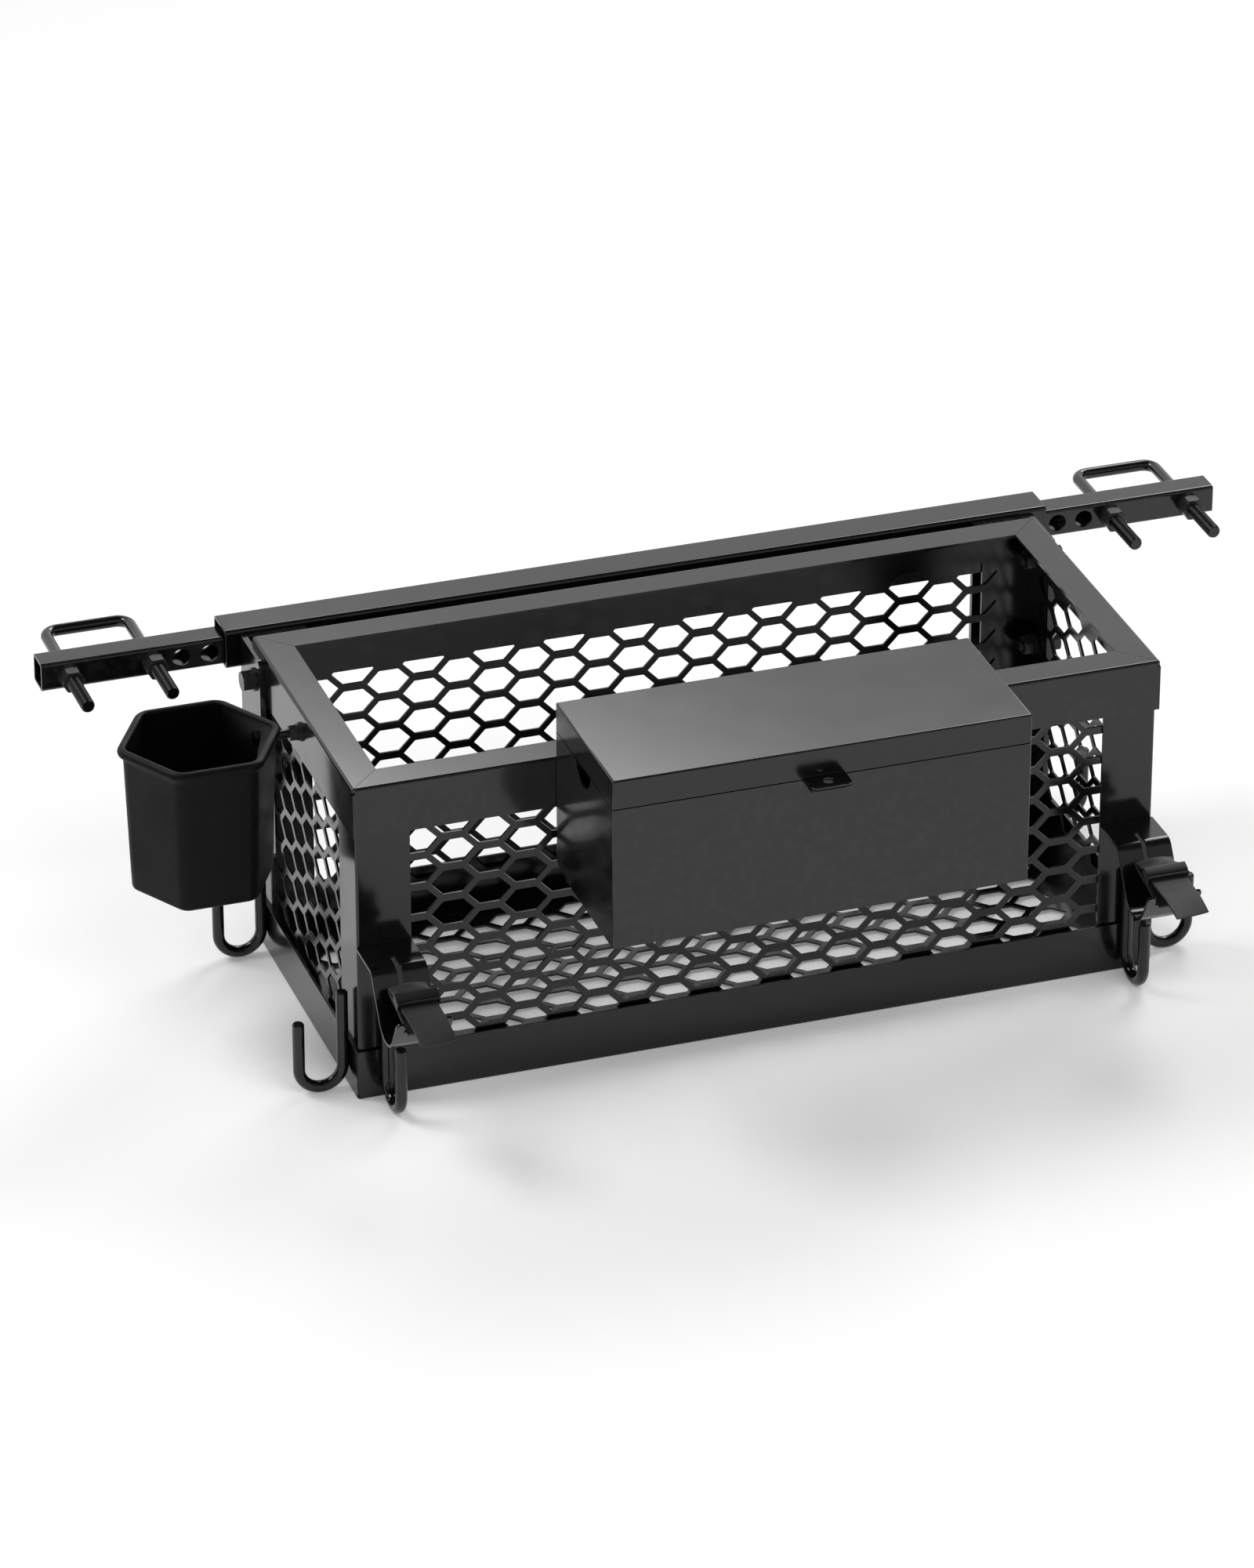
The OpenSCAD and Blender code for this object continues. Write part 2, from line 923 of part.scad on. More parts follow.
module cup_lip() {
    translate([0, 0, cup_h - cup_bead])
        hull()
            hex_corners(cup_lip_r, cup_corner)
                for (step = [-60:30:90])
                    translate([0, 0, min(cup_bead * sin(step), cup_bead - 0.2)])
                        cylinder(r = cup_corner - cup_bead + cup_bead * cos(step) + 0.01, h = 0.2, $fn = 24);
}

module cup() {
    color([0.03, 0.03, 0.03])
        placed()
            translate([cup_x, cup_y, cup_top_z - cup_h])
                difference() {
                    union() {
                        cup_solid();
                        cup_lip();
                    }
                    cup_inside();
                    translate([cup_base_r - 2 * cup_pad, 0, cup_bolt_z - cup_top_z + cup_h])
                        along_x()
                            cylinder(r = m6_r + slack, h = 4 * cup_pad);
                }
}

// The cup's cavity, with a flat pad left for the bolt head in the corner nearest the basket
module cup_inside() {
    difference() {
        hull() {
            translate([0, 0, cup_t])
                hex_corners(cup_base_r - cup_t, cup_corner - cup_t)
                    cylinder(r = cup_corner - cup_t, h = 1, $fn = 24);
            translate([0, 0, cup_h])
                hex_corners(cup_top_r - cup_t, cup_corner - cup_t)
                    cylinder(r = cup_corner - cup_t, h = 1, $fn = 24);
        }
        translate([cup_base_r - cup_pad, -2 * cup_pad, -margin])
            cube([3 * cup_pad, 4 * cup_pad, cup_h + 3 * margin]);
    }
}

// Everything on a cup bolt is placed by its distance out from the basket's end face
module on_cup_bolt(out) {
    translate([-half_l - out, cup_y, cup_bolt_z])
        along_x()
            children();
}

module cup_bolt() {
    reach = cup_out - cup_base_r + cup_pad;
    color([0.08, 0.08, 0.08])
        placed()
            on_cup_bolt(reach)
                hex_bolt(m6_flats, m6_head, m6_r, reach + mesh_face + m6_washer_t + m6_nut + 3);
}

module cup_nuts() {
    color([0.08, 0.08, 0.08])
        placed() {
            on_cup_bolt(m6_washer_t + m6_lock_t + m6_nut)
                hex_nut(m6_flats, m6_nut, m6_r + slack);
            on_cup_bolt(-mesh_face - m6_washer_t)
                hex_nut(m6_flats, m6_nut, m6_r + slack);
        }
}

module cup_washers() {
    color([0.08, 0.08, 0.08])
        placed() {
            for (out = [m6_washer_t, -mesh_face])
                on_cup_bolt(out)
                    washer(m6_washer_d, m6_washer_t, m6_r + slack);
            on_cup_bolt(m6_washer_t + m6_lock_t)
                lock_washer(m6_lock_d, m6_lock_t, m6_r + slack);
        }
}

// ---------- toolbox ----------

// Side view of the box body in the Y, Z plane, with Y = 0 on its back; inset moves every side in
module box_profile(inset) {
    lift = inset * 0.14;
    polygon([
        [-inset, box_base + box_chamfer_z + inset + lift],
        [-box_chamfer_y, box_base + inset + lift],
        [inset - box_d, box_base + inset],
        [inset - box_d, box_wall_top + (inset > 0 ? margin : 0)],
        [-inset, box_wall_top + (inset > 0 ? margin : 0)]
    ]);
}

// Fills a part of the box's rounded plan between two heights
module box_prism(low, high) {
    translate([0, -box_d / 2, low])
        linear_extrude(high - low)
            rounded_bar_2d(box_l, box_d, box_bend);
}

// Upright ring of sheet just inside the box wall
module box_ring(inset, thickness, low, high) {
    translate([-box_l / 2 + inset, inset - box_d, low])
        difference() {
            cube([box_l - 2 * inset, box_d - 2 * inset, high - low]);
            translate([thickness, thickness, -margin])
                cube([
                    box_l - 2 * inset - 2 * thickness,
                    box_d - 2 * inset - 2 * thickness,
                    high - low + 2 * margin
                ]);
        }
}

// Padlock tab in front of the box, its underside at height z
module tab(z) {
    translate([0, -box_d, z])
        linear_extrude(box_t)
            difference() {
                union() {
                    translate([-tab_w / 2, tab_corner - tab_l])
                        square([tab_w, tab_l - tab_corner + box_t]);
                    translate([tab_corner - tab_w / 2, -tab_l])
                        square([tab_w - 2 * tab_corner, tab_corner]);
                    for (x = [-1, 1])
                        translate([x * (tab_w / 2 - tab_corner), tab_corner - tab_l])
                            circle(tab_corner);
                }
                translate([0, -tab_hole_y])
                    circle(tab_hole_r);
            }
}

module at_box() {
    translate([0, -half_d, 0])
        children();
}

module toolbox_body() {
    painted()
        placed()
            difference() {
                at_box()
                    difference() {
                        union() {
                            difference() {
                                intersection() {
                                    extrude_x(box_l)
                                        box_profile(0);
                                    box_prism(box_base - margin, box_wall_top + margin);
                                }
                                extrude_x(box_l - 2 * box_t)
                                    box_profile(box_t);
                            }
                            box_ring(box_t, lip_inset + lip_t, box_wall_top - lip_down, box_wall_top);
                            box_ring(
                                box_t + lip_inset, lip_t,
                                box_wall_top - lip_down, box_wall_top + lip_up
                            );
                            tab(box_wall_top - box_t);
                        }
                        // Round notch in the left end, half hidden by the lid
                        translate([-box_l / 2 - margin, notch_y, notch_z])
                            along_x()
                                cylinder(r = notch_r, h = 8 * box_t);
                    }
                box_holes();
            }
}

module toolbox_lid() {
    painted()
        placed()
            at_box() {
                difference() {
                    // Its three outlines, each with rounded corners
                    intersection() {
                        box_prism(seam_z, seam_z + lid_h + margin);
                        extrude_x(box_l)
                            translate([-box_d / 2, seam_z])
                                rounded_bar_2d(box_d, 2 * lid_h, box_bend);
                        rotate([90, 0, 0])
                            linear_extrude(box_d)
                                translate([0, seam_z])
                                    rounded_bar_2d(box_l, 2 * lid_h, box_bend);
                    }
                    translate([box_t - box_l / 2, box_t - box_d, seam_z - margin])
                        cube([box_l - 2 * box_t, box_d - 2 * box_t, lid_h - box_t + margin]);
                }
                tab(seam_z);
            }
}

// The hinge axis is level with the seam, just behind the box
module at_hinges() {
    at_box()
        for (x = [-hinge_x, hinge_x])
            translate([x, knuckle_r, seam_z - seam_gap / 2])
                children();
}

module knuckle(from, to, bore_r) {
    translate([from, 0, 0])
        along_x()
            difference() {
                cylinder(r = knuckle_r, h = to - from);
                translate([0, 0, -margin])
                    cylinder(r = bore_r, h = to - from + 2 * margin);
            }
}

// Flat leaf from the knuckles' middle up, or down when dir is -1, clear of the other leaf's knuckles
module leaf(from, to, dir) {
    low = dir > 0 ? pin_r + 0.5 : -leaf_h - knuckle_r;
    translate([from, -knuckle_r, low])
        cube([to - from, leaf_t, leaf_h + knuckle_r - pin_r - 0.5]);
}

module leaf_clear(from, to) {
    translate([from, -2 * knuckle_r, -knuckle_r - knuckle_gap])
        cube([to - from, 4 * knuckle_r, 2 * (knuckle_r + knuckle_gap)]);
}

module hinge_leaves_body() {
    third = hinge_l / 3;
    painted()
        placed()
            at_hinges() {
                difference() {
                    leaf(-hinge_l / 2, hinge_l / 2, -1);
                    leaf_clear(-third / 2 - knuckle_gap, third / 2 + knuckle_gap);
                }
                knuckle(-hinge_l / 2, -third / 2 - knuckle_gap, pin_r);
                knuckle(third / 2 + knuckle_gap, hinge_l / 2, pin_r);
            }
}

module hinge_leaves_lid() {
    third = hinge_l / 3;
    painted()
        placed()
            at_hinges() {
                difference() {
                    leaf(-hinge_l / 2, hinge_l / 2, 1);
                    leaf_clear(-hinge_l / 2 - margin, -third / 2);
                    leaf_clear(third / 2, hinge_l / 2 + margin);
                }
                knuckle(-third / 2, third / 2, pin_r + slack);
            }
}

module hinge_pins() {
    color([0.3, 0.3, 0.3])
        placed()
            at_hinges()
                translate([-hinge_l / 2 - 0.5, 0, 0])
                    along_x()
                        cylinder(r = pin_r, h = hinge_l + 1);
}

// Everything on a toolbox bolt is placed by its distance behind the basket's front face
module on_box_bolts(y) {
    for (x = [-box_bolt_x, 0, box_bolt_x])
        translate([x, -half_d + y, box_bolt_z])
            along_y()
                children();
}

module toolbox_bolts() {
    color([0.08, 0.08, 0.08])
        placed()
            on_box_bolts(-box_t - m6_washer_t)
                hex_bolt(m6_flats, m6_head, m6_r, box_t + mesh_face + 2 * m6_washer_t + m6_nut + 3);
}

module toolbox_washers() {
    color([0.08, 0.08, 0.08])
        placed()
            for (y = [-box_t - m6_washer_t, mesh_face])
                on_box_bolts(y)
                    washer(m6_washer_d, m6_washer_t, m6_r + slack);
}

module toolbox_nuts() {
    color([0.08, 0.08, 0.08])
        placed()
            on_box_bolts(mesh_face + m6_washer_t)
                hex_nut(m6_flats, m6_nut, m6_r + slack);
}

// ---------- nodes ----------

top_rim_front();
top_rim_right();
top_rim_back();
top_rim_left();
bottom_rail(0);  // bottom_rail_front
bottom_rail(1);  // bottom_rail_right
bottom_rail(2);  // bottom_rail_back
bottom_rail(3);  // bottom_rail_left
post(-1, -1);  // post_front_left
post(1, -1);  // post_front_right
post(-1, 1);  // post_back_left
post(1, 1);  // post_back_right
mesh_front();
mesh_back();
mesh_left();
mesh_right();
mesh_floor();
crossbar_tube();
bracket(-1);  // bracket_left
bracket(1);  // bracket_right
bracket_bolts();
bracket_washers();
bracket_lock_washers();
bracket_nuts();
spacer_washers();
arm(-1);  // arm_left
arm(1);  // arm_right
ubolt(-1);  // ubolt_left
ubolt(1);  // ubolt_right
ubolt_washers(-1);  // ubolt_washers_left
ubolt_washers(1);  // ubolt_washers_right
ubolt_nuts(-1);  // ubolt_nuts_left
ubolt_nuts(1);  // ubolt_nuts_right
end_hook(-1, -1);  // hook_left_front
end_hook(-1, 1);  // hook_left_back
end_hook(1, -1);  // hook_right_front
end_hook(1, 1);  // hook_right_back
front_hook(-1);  // hook_front_left
front_hook(1);  // hook_front_right
cradle(-1);  // cradle_left
cradle(1);  // cradle_right
strap(-1);  // strap_left
strap(1);  // strap_right
strap_buckle(-1);  // strap_buckle_left
strap_buckle(1);  // strap_buckle_right
cup();
cup_bolt();
cup_nuts();
cup_washers();
toolbox_body();
toolbox_lid();
hinge_leaves_body();
hinge_leaves_lid();
hinge_pins();
toolbox_bolts();
toolbox_nuts();
toolbox_washers();
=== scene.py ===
import json
import math

import bpy
import bmesh
from mathutils import Matrix, Vector


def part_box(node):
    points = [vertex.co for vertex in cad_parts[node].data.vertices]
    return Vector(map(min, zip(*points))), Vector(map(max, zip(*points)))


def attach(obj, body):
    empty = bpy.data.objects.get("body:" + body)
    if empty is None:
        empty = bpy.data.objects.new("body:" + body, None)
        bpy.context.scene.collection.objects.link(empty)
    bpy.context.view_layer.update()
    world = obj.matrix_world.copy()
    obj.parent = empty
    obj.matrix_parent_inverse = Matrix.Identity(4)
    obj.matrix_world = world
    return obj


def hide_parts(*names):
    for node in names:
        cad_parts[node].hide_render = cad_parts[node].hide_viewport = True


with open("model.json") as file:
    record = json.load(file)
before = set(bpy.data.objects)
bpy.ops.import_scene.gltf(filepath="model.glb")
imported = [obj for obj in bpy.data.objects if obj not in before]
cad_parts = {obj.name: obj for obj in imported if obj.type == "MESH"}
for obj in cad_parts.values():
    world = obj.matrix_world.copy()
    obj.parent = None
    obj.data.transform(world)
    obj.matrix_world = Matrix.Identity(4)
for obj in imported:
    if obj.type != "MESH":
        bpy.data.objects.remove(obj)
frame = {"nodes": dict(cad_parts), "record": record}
nodes = frame["nodes"]
scene = bpy.context.scene
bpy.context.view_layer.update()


# ---------- node trees ----------

class Nodes:
    """Short calls for building one material's node tree."""

    def __init__(self, name):
        self.material = bpy.data.materials.new(name)
        self.material.use_nodes = True
        self.tree = self.material.node_tree
        self.shader = self.tree.nodes["Principled BSDF"]

    def add(self, kind, inputs=None, **settings):
        node = self.tree.nodes.new(kind)
        for key, value in settings.items():
            setattr(node, key, value)
        for key, value in (inputs or {}).items():
            self.feed(node, key, value)
        return node

    def feed(self, node, key, value):
        if isinstance(value, bpy.types.NodeSocket):
            self.tree.links.new(value, node.inputs[key])
        else:
            node.inputs[key].default_value = value

    def set(self, **inputs):
        for key, value in inputs.items():
            self.feed(self.shader, key.replace("_", " "), value)

    def place(self, scale=(1, 1, 1)):
        """Object coordinates in millimetres, stretched by scale."""
        coordinates = self.add("ShaderNodeTexCoord")
        mapping = self.add("ShaderNodeMapping", {"Vector": coordinates.outputs["Object"]})
        mapping.inputs["Scale"].default_value = tuple(1000 * s for s in scale)
        return mapping.outputs["Vector"]

    def noise(self, wavelength, detail=3, roughness=0.5, where=None):
        node = self.add("ShaderNodeTexNoise", {
            "Vector": where or self.place(),
            "Scale": 1 / wavelength,
            "Detail": detail,
            "Roughness": roughness,
        })
        return node.outputs["Fac"]

    def ramp(self, value, low, high, out_low=0.0, out_high=1.0):
        node = self.add("ShaderNodeMapRange", {
            "Value": value, "From Min": low, "From Max": high, "To Min": out_low, "To Max": out_high,
        })
        return node.outputs["Result"]

    def mix(self, factor, a, b):
        node = self.add("ShaderNodeMix", data_type="RGBA")
        self.feed(node, 0, factor)
        self.feed(node, 6, a)
        self.feed(node, 7, b)
        return node.outputs[2]

    def math(self, operation, a, b=0.0):
        node = self.add("ShaderNodeMath", operation=operation)
        self.feed(node, 0, a)
        self.feed(node, 1, b)
        return node.outputs[0]

    def bump(self, height, distance, normal=None):
        inputs = {"Height": height, "Distance": distance, "Strength": 1.0}
        if normal:
            inputs["Normal"] = normal
        return self.add("ShaderNodeBump", inputs).outputs["Normal"]


# ---------- camera, floor and light ----------

CAMERA_AZIMUTH = math.radians(-18.816)
CAMERA_ELEVATION = math.radians(28.267)
CAMERA_DISTANCE = 5.1109
CAMERA_TARGET = Vector((-0.04902, 0.03895, 0.12888))
TOWARDS_CAMERA = Vector((
    math.sin(CAMERA_AZIMUTH) * math.cos(CAMERA_ELEVATION),
    -math.cos(CAMERA_AZIMUTH) * math.cos(CAMERA_ELEVATION),
    math.sin(CAMERA_ELEVATION),
))
LENS_MM = 175.07
FLOOR_HALF = 12
FLOOR_GREY = 0.8
FLOOR_GLOW = 0.15
# How bright the studio is overhead, low down behind the object, and in front as a share of behind
WORLD_DARK = 0.07
WORLD_WHITE = 1.15
WORLD_FRONT = 0.4
# The light card's edges, its distance from the spot that mirrors its brightest point, and its brightness
CARD_X = (-0.3, 0.55)
CARD_Y = (-0.25, 0.1)
CARD_DISTANCE = 0.9
CARD_GLOW = 1.78
CARD_GLOW_MOST = 4.5
# The distances over which its glow falls by a factor of e, to the right and downwards
CARD_FADE_X = 0.14
CARD_FADE_Y = 0.046


def add_camera():
    data = bpy.data.cameras.new("camera")
    data.sensor_fit = "AUTO"
    data.sensor_width = 36
    data.lens = LENS_MM
    data.clip_start = 0.1
    data.clip_end = 60
    camera = bpy.data.objects.new("camera", data)
    scene.collection.objects.link(camera)
    camera.location = CAMERA_TARGET + TOWARDS_CAMERA * CAMERA_DISTANCE
    camera.rotation_euler = (-TOWARDS_CAMERA).to_track_quat("-Z", "Y").to_euler()
    scene.camera = camera


def floor_material():
    material = bpy.data.materials.new("floor_white")
    material.use_nodes = True
    shader = material.node_tree.nodes["Principled BSDF"]
    shader.inputs["Base Color"].default_value = (FLOOR_GREY, FLOOR_GREY, FLOOR_GREY, 1)
    shader.inputs["Roughness"].default_value = 1
    shader.inputs["Specular IOR Level"].default_value = 0
    shader.inputs["Emission Color"].default_value = (1, 1, 1, 1)
    shader.inputs["Emission Strength"].default_value = FLOOR_GLOW
    return material


def add_floor():
    mesh = bpy.data.meshes.new("floor")
    half = FLOOR_HALF
    corners = [(-half, -half, 0), (half, -half, 0), (half, half, 0), (-half, half, 0)]
    mesh.from_pydata(corners, [], [(0, 1, 2, 3)])
    floor = bpy.data.objects.new("floor", mesh)
    scene.collection.objects.link(floor)
    mesh.materials.append(floor_material())


def add_area(name, location, target, size, energy):
    data = bpy.data.lights.new(name, "AREA")
    data.shape = "RECTANGLE"
    data.size, data.size_y = size
    data.energy = energy
    light = bpy.data.objects.new(name, data)
    scene.collection.objects.link(light)
    light.location = location
    light.rotation_euler = (Vector(target) - Vector(location)).to_track_quat("-Z", "Y").to_euler()
    return light


def add_world():
    """A studio: white low down behind the object, dimmer in front, dark overhead."""
    world = bpy.data.worlds.new("world")
    world.use_nodes = True
    scene.world = world
    tree = world.node_tree

    def add(kind, **inputs):
        node = tree.nodes.new(kind)
        for key, value in inputs.items():
            if isinstance(value, bpy.types.NodeSocket):
                tree.links.new(value, node.inputs[key.replace("_", " ")])
            else:
                node.inputs[key.replace("_", " ")].default_value = value
        return node

    def combine(operation, a, b):
        node = tree.nodes.new("ShaderNodeMath")
        node.operation = operation
        tree.links.new(a.outputs[0], node.inputs[0])
        tree.links.new(b.outputs[0], node.inputs[1])
        return node

    place = add("ShaderNodeTexCoord")
    parts = add("ShaderNodeSeparateXYZ", Vector=place.outputs["Generated"])
    depth = parts.outputs["Y"]
    behind = add("ShaderNodeMapRange", Value=depth, From_Min=0.1, From_Max=0.45)
    before = add("ShaderNodeMapRange", Value=depth, From_Min=-0.1, From_Max=-0.45, To_Max=WORLD_FRONT)
    low = add("ShaderNodeMapRange", Value=parts.outputs["Z"], From_Min=0.86, From_Max=0.62)
    white = combine("MULTIPLY", combine("ADD", behind, before), low)
    level = add("ShaderNodeMapRange", Value=white.outputs[0], To_Min=WORLD_DARK, To_Max=WORLD_WHITE)
    tree.links.new(level.outputs[0], tree.nodes["Background"].inputs["Strength"])
    tree.nodes["Background"].inputs["Color"].default_value = (1, 1, 1, 1)


def add_card(spot):
    """A light card fixed behind the object, which shows only in glossy faces. A level face at spot mirrors
    its brightest point to the camera's place, and it fades to the right and downwards."""
    away = Vector((-TOWARDS_CAMERA.x, -TOWARDS_CAMERA.y, TOWARDS_CAMERA.z))
    n = Nodes("card_light")
    n.tree.nodes.remove(n.shader)
    place = n.add("ShaderNodeTexCoord")
    parts = n.add("ShaderNodeSeparateXYZ", {0: place.outputs["Object"]})
    fade_x = n.math("DIVIDE", parts.outputs["X"], -CARD_FADE_X)
    fade_y = n.math("DIVIDE", parts.outputs["Y"], CARD_FADE_Y)
    fade = n.math("EXPONENT", n.math("ADD", fade_x, fade_y))
    glow = n.math("MINIMUM", n.math("MULTIPLY", fade, CARD_GLOW), CARD_GLOW_MOST)
    front = n.add("ShaderNodeAddShader", {
        0: n.add("ShaderNodeEmission", {"Strength": glow}).outputs[0],
        1: n.add("ShaderNodeBsdfTransparent").outputs[0],
    })
    side = n.add("ShaderNodeNewGeometry")
    both = n.add("ShaderNodeMixShader", {
        0: side.outputs["Backfacing"], 1: front.outputs[0], 2: n.add("ShaderNodeBsdfTransparent").outputs[0],
    })
    n.tree.links.new(both.outputs[0], n.tree.nodes["Material Output"].inputs["Surface"])
    mesh = bpy.data.meshes.new("card")
    left, right = CARD_X
    down, up = CARD_Y
    mesh.from_pydata([(left, down, 0), (right, down, 0), (right, up, 0), (left, up, 0)], [], [(0, 1, 2, 3)])
    mesh.materials.append(n.material)
    card = bpy.data.objects.new("card", mesh)
    scene.collection.objects.link(card)
    card.location = Vector(spot) + away * CARD_DISTANCE
    card.rotation_euler = (-away).to_track_quat("Z", "Y").to_euler()
    card.visible_camera = False
    card.visible_diffuse = False
    card.visible_shadow = False


add_camera()
add_floor()
add_world()
add_area("key", (-1.9, 0.9, 2.7), (0, 0, 0), (1.3, 1.3), 46)
add_area("fill", (1.7, 1.6, 2.4), (0, 0, 0), (1.4, 1.4), 36)
front_light = add_area("front", (0.3, -2.2, 2.4), (0, -0.2, 0), (2.2, 2.2), 44)
front_light.visible_glossy = False
lid_low, lid_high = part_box("toolbox_lid")
add_card((lid_low[0] + 0.01, lid_low[1] + 0.03, lid_high[2]))
scene.view_settings.view_transform = "Standard"


# ---------- materials ----------

def grey(value):
    return (value, value * 1.01, value * 1.04, 1)


PAINT_BASE = 0.0012
PAINT_PEEL_MM = 0.004
PAINT_WEAR = 0.14


def paint(name, roughness=0.13):
    """Black powder coat: orange peel over a slow ripple, duller patches, hairline scratches, paler edges."""
    n = Nodes(name)
    patches = n.noise(35, detail=4)
    fine = n.noise(1.5, detail=2)
    ripple = n.noise(11, detail=1)
    specks = n.ramp(n.noise(0.5, detail=2, roughness=0.7), 0.7, 0.8)
    scratch_space = n.place((0.05, 0.9, 0.9))
    scratches = n.ramp(n.noise(0.45, detail=2, roughness=0.4, where=scratch_space), 0.69, 0.74)
    scratches = n.math("MULTIPLY", scratches, n.ramp(n.noise(60, detail=2), 0.5, 0.65))
    edge = n.ramp(n.add("ShaderNodeNewGeometry").outputs["Pointiness"], 0.52, 0.6)
    worn = n.math("MULTIPLY", edge, n.ramp(n.noise(5, detail=6), 0.4, 0.7, 0.15, 1.0))
    colour = n.mix(n.ramp(patches, 0.3, 0.7), grey(PAINT_BASE), grey(PAINT_BASE * 1.6))
    colour = n.mix(n.math("MULTIPLY", specks, 0.012), colour, grey(0.3))
    colour = n.mix(n.math("MULTIPLY", scratches, 0.03), colour, grey(0.2))
    colour = n.mix(n.math("MULTIPLY", worn, PAINT_WEAR), colour, grey(0.06))
    gloss = n.ramp(patches, 0.3, 0.7, roughness * 0.8, roughness * 1.3)
    dulled = n.math("ADD", n.math("MULTIPLY", specks, 0.12), n.math("MULTIPLY", scratches, 0.1))
    n.set(Base_Color=colour, Roughness=n.math("ADD", gloss, dulled), IOR=1.5)
    slow = n.bump(ripple, PAINT_PEEL_MM * 1.2 / 1000)
    n.set(Normal=n.bump(fine, PAINT_PEEL_MM / 1000, normal=slow))
    return n.material


def fastener(name):
    """Black zinc plate: a little blotchy, brighter where a spanner or a nut has rubbed it."""
    n = Nodes(name)
    grain = n.noise(0.35, detail=3)
    blotch = n.noise(5, detail=4)
    edge = n.ramp(n.add("ShaderNodeNewGeometry").outputs["Pointiness"], 0.51, 0.58)
    rubbed = n.math("MULTIPLY", edge, n.ramp(n.noise(2.5, detail=5), 0.35, 0.65, 0.2, 1.0))
    colour = n.mix(n.ramp(blotch, 0.3, 0.7), grey(0.004), grey(0.009))
    colour = n.mix(n.math("MULTIPLY", rubbed, 0.35), colour, grey(0.09))
    n.set(Base_Color=colour, Metallic=n.ramp(rubbed, 0, 1, 0.1, 0.6), IOR=1.5)
    n.set(Roughness=n.math("ADD", n.ramp(blotch, 0.3, 0.7, 0.2, 0.34), n.math("MULTIPLY", grain, 0.06)))
    n.set(Normal=n.bump(grain, 0.012 / 1000))
    return n.material


def plastic(name, base, roughness, grain_size, depth, specular):
    """Moulded black plastic: a leathery grain, slow colour change, scuffs and paler edges."""
    n = Nodes(name)
    cell_inputs = {"Vector": n.place(), "Scale": 1 / grain_size}
    cells = n.add("ShaderNodeTexVoronoi", cell_inputs, feature="SMOOTH_F1")
    pits = n.noise(grain_size * 0.45, detail=3)
    slow = n.noise(28, detail=3)
    scuff = n.ramp(n.noise(1.1, detail=4, where=n.place((0.3, 1, 0.12))), 0.66, 0.76)
    scuff = n.math("MULTIPLY", scuff, n.ramp(n.noise(24, detail=2), 0.5, 0.62))
    edge = n.ramp(n.add("ShaderNodeNewGeometry").outputs["Pointiness"], 0.52, 0.6)
    colour = n.mix(n.ramp(slow, 0.3, 0.7), grey(base), grey(base * 1.5))
    colour = n.mix(n.math("MULTIPLY", scuff, 0.06), colour, grey(0.15))
    colour = n.mix(n.math("MULTIPLY", edge, 0.08), colour, grey(0.07))
    height = n.math("ADD", cells.outputs["Distance"], n.math("MULTIPLY", pits, 0.5))
    n.set(Base_Color=colour, Roughness=n.ramp(slow, 0.3, 0.7, roughness * 0.9, roughness * 1.15))
    n.set(Specular_IOR_Level=specular, Normal=n.bump(height, depth / 1000))
    return n.material


def webbing_cloth(name):
    """Polyester webbing: each yarn a little lighter or darker, fine filaments, fuzz at grazing angles."""
    n = Nodes(name)
    yarns = n.noise(1.6, detail=2, where=n.place((1, 0.08, 0.08)))
    filaments = n.noise(0.16, detail=2, where=n.place((1, 0.12, 0.12)))
    soiling = n.noise(14, detail=4)
    colour = n.mix(n.ramp(yarns, 0.3, 0.7), grey(0.003), grey(0.0065))
    colour = n.mix(n.ramp(soiling, 0.5, 0.75, 0.0, 0.35), colour, (0.016, 0.0145, 0.013, 1))
    colour = n.mix(n.ramp(filaments, 0.55, 0.75, 0.0, 0.3), colour, grey(0.02))
    n.set(Base_Color=colour, Roughness=n.ramp(filaments, 0.3, 0.7, 0.5, 0.68), Specular_IOR_Level=0.45)
    n.set(Sheen_Weight=0.1, Sheen_Roughness=0.35, Normal=n.bump(filaments, 0.03 / 1000))
    return n.material


def brushed_steel(name):
    """Bare turned pin: fine rings round it, a little staining."""
    n = Nodes(name)
    rings = n.noise(0.12, detail=2, where=n.place((1, 0.05, 0.05)))
    stain = n.noise(3, detail=4)
    n.set(Base_Color=n.mix(n.ramp(stain, 0.4, 0.7), grey(0.42), (0.2, 0.17, 0.14, 1)), Metallic=1.0)
    n.set(Roughness=n.ramp(stain, 0.35, 0.7, 0.25, 0.45), Normal=n.bump(rings, 0.01 / 1000))
    return n.material


MATERIALS = {
    "frame_paint": paint("frame_paint"),
    "mesh_paint": paint("mesh_paint", roughness=0.15),
    "crossbar_paint": paint("crossbar_paint", roughness=0.12),
    "hook_paint": paint("hook_paint", roughness=0.1),
    "toolbox_paint": paint("toolbox_paint", roughness=0.17),
    "fastener_black": fastener("fastener_black"),
    "webbing": webbing_cloth("webbing"),
    "buckle_plastic": plastic(
        "buckle_plastic", base=0.003, roughness=0.36, grain_size=0.5, depth=0.01, specular=0.3
    ),
    "cup_plastic": plastic(
        "cup_plastic", base=0.0012, roughness=0.48, grain_size=0.7, depth=0.03, specular=0.13
    ),
    "hinge_pin_steel": brushed_steel("hinge_pin_steel"),
}

SLOTS = {entry["node"]: entry["material_slot"] for entry in frame["record"]["subparts"]}

# ---------- the CAD pieces: rolled edges and materials ----------

